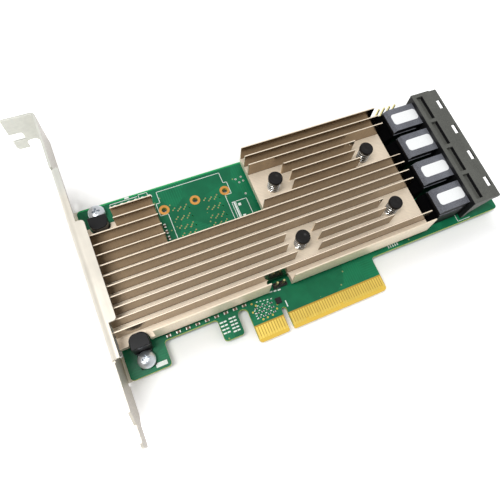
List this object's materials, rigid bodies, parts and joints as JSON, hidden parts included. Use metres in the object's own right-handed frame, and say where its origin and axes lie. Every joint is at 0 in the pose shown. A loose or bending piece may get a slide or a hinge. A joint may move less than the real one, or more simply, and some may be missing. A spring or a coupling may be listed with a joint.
{
  "type": "host bus adapter",
  "caption": "Low-profile plug-in host bus adapter: green card with a finned heat sink on sprung push pins, a full-height bracket and a row of internal cable sockets under one hood.",
  "frame": {"origin": "middle of the key notch at the tips of the edge fingers, on the component face of the board", "axes": "+X along the card from the bracket to the cable sockets, +Y from the edge fingers to the card's top edge, +Z out of the component face"},
  "size_m": [0.1683, 0.1201, 0.0184],
  "materials": {
    "solder_mask": "green solder mask on glass-epoxy",
    "gold_plating": "gold-plated contacts",
    "copper_land": "bare plated lands",
    "chip_substrate": "laminate package",
    "nickel_lid": "plated metal lid",
    "thermal_compound": "grey compound",
    "champagne_aluminium": "glossy champagne anodised metal",
    "black_nylon": "moulded",
    "spring_wire": "bright wire",
    "bracket_steel": "nickel-plated sheet",
    "screw_steel": "bright plated",
    "clip_plastic": "moulded",
    "shroud_plastic": "satin dark grey",
    "socket_plastic": "satin black",
    "label_stock": "blank white label",
    "header_plastic": "moulded",
    "capacitor_body": "tan ceramic with tinned ends",
    "resistor_body": "black film on ceramic",
    "ferrite": "pressed ferrite",
    "chip_epoxy": "moulded epoxy",
    "crystal_can": "welded can"
  },
  "bodies": {
    "root": {"circuit_board": "solder_mask", "edge_contacts_front": "gold_plating", "edge_contacts_back": "gold_plating", "plated_hole_rings": "copper_land", "controller_substrate": "chip_substrate", "controller_lid": "nickel_lid", "thermal_pad": "thermal_compound", "heat_sink": "champagne_aluminium", "push_pin_1": "black_nylon", "push_pin_2": "black_nylon", "push_pin_3": "black_nylon", "push_pin_4": "black_nylon", "pin_spring_1": "spring_wire", "pin_spring_2": "spring_wire", "pin_spring_3": "spring_wire", "pin_spring_4": "spring_wire", "bracket": "bracket_steel", "bracket_screws": "screw_steel", "sink_clip_lower": "clip_plastic", "sink_clip_upper": "clip_plastic", "connector_shroud": "shroud_plastic", "receptacle_1": "socket_plastic", "receptacle_2": "socket_plastic", "receptacle_3": "socket_plastic", "receptacle_4": "socket_plastic", "contact_set_1": "gold_plating", "contact_set_2": "gold_plating", "contact_set_3": "gold_plating", "contact_set_4": "gold_plating", "terminal_block_1": "socket_plastic", "terminal_block_2": "socket_plastic", "terminal_block_3": "socket_plastic", "terminal_block_4": "socket_plastic", "port_label_1": "label_stock", "port_label_2": "label_stock", "port_label_3": "label_stock", "port_label_4": "label_stock", "header_base": "header_plastic", "header_pins": "gold_plating", "jumper_base": "header_plastic", "jumper_pins": "gold_plating", "edge_capacitors": "capacitor_body", "edge_resistors": "resistor_body", "back_capacitors": "capacitor_body", "site_chips": "capacitor_body", "tongue_chip": "chip_epoxy", "regulator_inductors": "ferrite", "regulator_chips": "chip_epoxy", "flash_chip": "chip_epoxy", "crystal": "crystal_can"}
  },
  "joints": []
}
